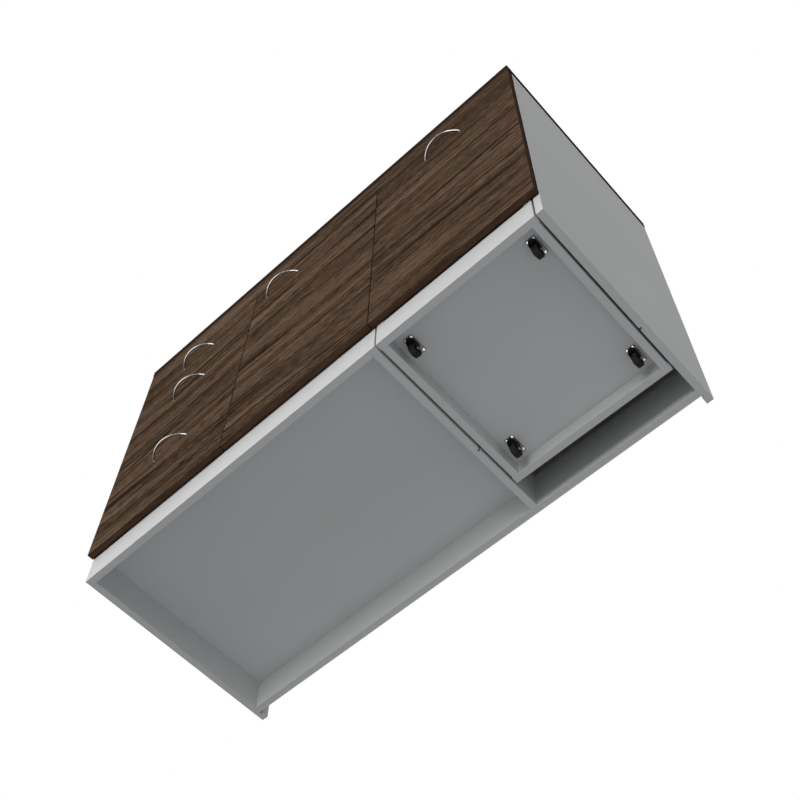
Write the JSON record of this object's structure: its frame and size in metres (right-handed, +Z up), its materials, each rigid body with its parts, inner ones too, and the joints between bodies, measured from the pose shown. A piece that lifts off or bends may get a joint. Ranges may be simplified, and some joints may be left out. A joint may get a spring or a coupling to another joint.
{
  "type": "base kitchen cabinet",
  "caption": "Base kitchen cabinet with drawers, a hinged door and a roll-out cart on casters, walnut fronts with bow pulls on a white carcase.",
  "frame": {"origin": "on the floor, under the middle of the whole object's box", "axes": "+X to the right along the front, +Y to the back, +Z up; the fronts face -Y"},
  "size_m": [1.451, 0.663, 1.065],
  "materials": {
    "black_laminate": "black laminate on board",
    "white_laminate": "white melamine on board",
    "white_hardboard": "white lacquered hardboard",
    "drawer_box_board": "white melamine on board",
    "walnut_front": "dark walnut, level grain",
    "satin_chrome": "satin chrome",
    "zinc_steel": "bright zinc plate",
    "nickel_hinge": "nickel plate",
    "clear_bumper": "soft translucent pad",
    "black_fork": "black moulded",
    "black_tread": "black moulded tread"
  },
  "bodies": {
    "carcase": {"worktop": "black_laminate", "left_side_panel": "white_laminate", "right_side_panel": "white_laminate", "bay_partition": "white_laminate", "drawer_partition": "white_laminate", "bottom_panel": "white_laminate", "toe_kick_board": "white_laminate", "back_rail": "white_laminate", "back_panel": "white_hardboard", "front_fascia": "walnut_front", "top_stretchers": "white_laminate", "door_shelf": "white_laminate", "shelf_pins": "zinc_steel", "fixed_slides": "zinc_steel", "hinge_plates": "nickel_hinge", "hinge_arms": "nickel_hinge", "front_bumpers": "clear_bumper"},
    "top_drawer": {"top_drawer_front": "walnut_front", "top_drawer_handle": "satin_chrome", "top_drawer_sides": "drawer_box_board", "top_drawer_ends": "drawer_box_board", "top_drawer_bottom": "white_hardboard", "top_drawer_runners": "zinc_steel"},
    "top_slides": {"top_slide_middles": "zinc_steel"},
    "middle_drawer": {"middle_drawer_front": "walnut_front", "middle_drawer_handle": "satin_chrome", "middle_drawer_sides": "drawer_box_board", "middle_drawer_ends": "drawer_box_board", "middle_drawer_bottom": "white_hardboard", "middle_drawer_runners": "zinc_steel"},
    "middle_slides": {"middle_slide_middles": "zinc_steel"},
    "bottom_drawer": {"bottom_drawer_front": "walnut_front", "bottom_drawer_handle": "satin_chrome", "bottom_drawer_sides": "drawer_box_board", "bottom_drawer_ends": "drawer_box_board", "bottom_drawer_bottom": "white_hardboard", "bottom_drawer_runners": "zinc_steel"},
    "bottom_slides": {"bottom_slide_middles": "zinc_steel"},
    "door": {"door_panel": "walnut_front", "door_handle": "satin_chrome", "hinge_cups": "nickel_hinge"},
    "hinge_links": {"hinge_links": "nickel_hinge"},
    "cart": {"cart_front": "walnut_front", "cart_handle": "satin_chrome", "cart_sides": "white_laminate", "cart_bottom": "white_laminate", "cart_shelf": "white_laminate", "cart_top": "white_laminate", "cart_plinth_front": "white_laminate", "cart_plinth_back": "white_laminate", "caster_plates": "zinc_steel", "caster_screws": "zinc_steel"},
    "fork_front_left": {"caster_fork_front_left": "black_fork"},
    "wheel_front_left": {"caster_wheel_front_left": "black_tread"},
    "fork_front_right": {"caster_fork_front_right": "black_fork"},
    "wheel_front_right": {"caster_wheel_front_right": "black_tread"},
    "fork_back_left": {"caster_fork_back_left": "black_fork"},
    "wheel_back_left": {"caster_wheel_back_left": "black_tread"},
    "fork_back_right": {"caster_fork_back_right": "black_fork"},
    "wheel_back_right": {"caster_wheel_back_right": "black_tread"}
  },
  "joints": [
    {"name": "top_drawer_slide", "type": "slide", "parent": "carcase", "child": "top_drawer", "axis": [0, -1, 0], "range_m": [0, 0.48]},
    {"name": "top_slides_travel", "type": "slide", "parent": "carcase", "child": "top_slides", "axis": [0, -1, 0], "range_m": [0, 0.24]},
    {"name": "middle_drawer_slide", "type": "slide", "parent": "carcase", "child": "middle_drawer", "axis": [0, -1, 0], "range_m": [0, 0.48]},
    {"name": "middle_slides_travel", "type": "slide", "parent": "carcase", "child": "middle_slides", "axis": [0, -1, 0], "range_m": [0, 0.24]},
    {"name": "bottom_drawer_slide", "type": "slide", "parent": "carcase", "child": "bottom_drawer", "axis": [0, -1, 0], "range_m": [0, 0.48]},
    {"name": "bottom_slides_travel", "type": "slide", "parent": "carcase", "child": "bottom_slides", "axis": [0, -1, 0], "range_m": [0, 0.24]},
    {"name": "door_hinge", "type": "hinge", "parent": "carcase", "child": "door", "pos_m": [0.2365, -0.3, 0.09], "axis": [0, 0, 1], "range_deg": [0, 85]},
    {"name": "hinge_link_pivot", "type": "hinge", "parent": "carcase", "child": "hinge_links", "pos_m": [0.2106, -0.276, 0.19], "axis": [0, 0, 1], "range_deg": [0, 93.5]},
    {"name": "cart_roll", "type": "slide", "parent": "carcase", "child": "cart", "axis": [0, -1, 0], "range_m": [0, 0.65]},
    {"name": "caster_swivel_front_left", "type": "hinge", "parent": "cart", "child": "fork_front_left", "pos_m": [0.2981, -0.212, 0.0446], "axis": [0, 0, 1], "continuous": true},
    {"name": "caster_spin_front_left", "type": "hinge", "parent": "fork_front_left", "child": "wheel_front_left", "pos_m": [0.2981, -0.206, 0.017], "axis": [1, 0, 0], "continuous": true},
    {"name": "caster_swivel_front_right", "type": "hinge", "parent": "cart", "child": "fork_front_right", "pos_m": [0.6515, -0.212, 0.0446], "axis": [0, 0, 1], "continuous": true},
    {"name": "caster_spin_front_right", "type": "hinge", "parent": "fork_front_right", "child": "wheel_front_right", "pos_m": [0.6515, -0.206, 0.017], "axis": [1, 0, 0], "continuous": true},
    {"name": "caster_swivel_back_left", "type": "hinge", "parent": "cart", "child": "fork_back_left", "pos_m": [0.2981, 0.1395, 0.0446], "axis": [0, 0, 1], "continuous": true},
    {"name": "caster_spin_back_left", "type": "hinge", "parent": "fork_back_left", "child": "wheel_back_left", "pos_m": [0.2981, 0.1455, 0.017], "axis": [1, 0, 0], "continuous": true},
    {"name": "caster_swivel_back_right", "type": "hinge", "parent": "cart", "child": "fork_back_right", "pos_m": [0.6515, 0.1395, 0.0446], "axis": [0, 0, 1], "continuous": true},
    {"name": "caster_spin_back_right", "type": "hinge", "parent": "fork_back_right", "child": "wheel_back_right", "pos_m": [0.6515, 0.1455, 0.017], "axis": [1, 0, 0], "continuous": true}
  ],
  "couplings": [
    {"joint": "top_slides_travel", "follows": "top_drawer_slide", "ratio": 0.5},
    {"joint": "middle_slides_travel", "follows": "middle_drawer_slide", "ratio": 0.5},
    {"joint": "bottom_slides_travel", "follows": "bottom_drawer_slide", "ratio": 0.5},
    {"joint": "hinge_link_pivot", "follows": "door_hinge", "ratio": 1.1}
  ]
}
